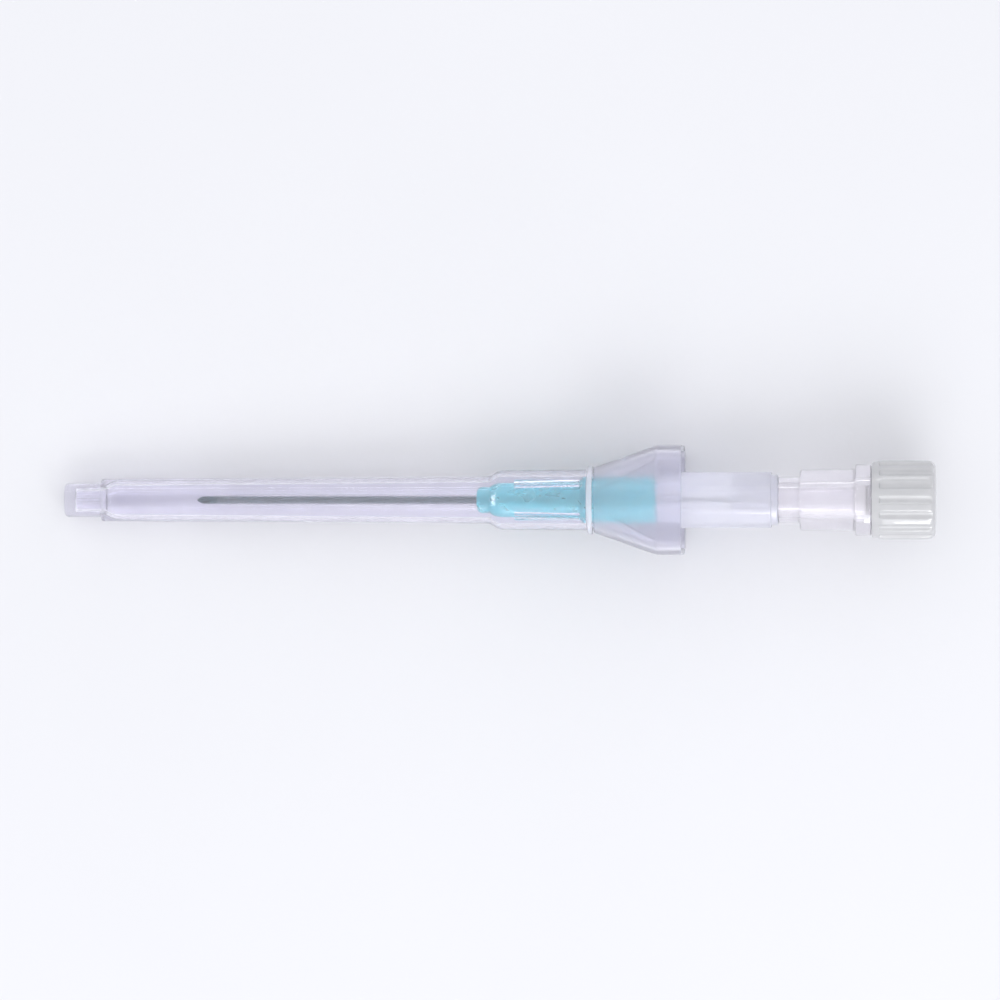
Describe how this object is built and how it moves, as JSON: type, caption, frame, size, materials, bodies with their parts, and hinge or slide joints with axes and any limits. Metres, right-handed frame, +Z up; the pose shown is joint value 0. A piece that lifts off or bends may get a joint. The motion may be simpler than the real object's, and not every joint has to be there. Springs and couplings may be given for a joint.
{
  "type": "iv cannula",
  "caption": "Pen-type over-the-needle IV cannula lying in its clear needle cover, with teal catheter hub, flash chamber and ribbed luer plug.",
  "frame": {"origin": "centre of the outline's box on the surface that the cannula lies on", "axes": "+X from the needle cover's closed tip to the luer plug, +Z up; the cannula's own axis rises 3.43 degrees towards +X, because it rests on the front of the cover's tube and on the flare"},
  "size_m": [0.1072, 0.0134, 0.0136],
  "materials": {
    "clear_cover": "clear, slightly milky",
    "teal_hub": "clear teal",
    "catheter_plastic": "translucent",
    "steel": "fine ground",
    "clear_plastic": "clear",
    "porous_white": "sintered",
    "milky_plastic": "milky"
  },
  "bodies": {
    "cover": {"needle_cover": "clear_cover"},
    "catheter": {"catheter_hub": "teal_hub", "catheter_tube": "catheter_plastic", "tube_eyelet": "steel"},
    "needle": {"introducer_needle": "steel", "needle_hub": "clear_plastic", "flash_chamber": "clear_plastic", "vent_filter": "porous_white"},
    "plug": {"luer_plug": "milky_plastic"}
  },
  "joints": [
    {"name": "cover_pull", "type": "slide", "parent": "cover", "child": "catheter", "axis": [0.9982, 0, 0.0599], "range_m": [0, 0.062]},
    {"name": "needle_withdraw", "type": "slide", "parent": "catheter", "child": "needle", "axis": [0.9982, 0, 0.0599], "range_m": [0, 0.058]},
    {"name": "plug_pull", "type": "slide", "parent": "needle", "child": "plug", "axis": [0.9982, 0, 0.0599], "range_m": [0, 0.0065]}
  ]
}
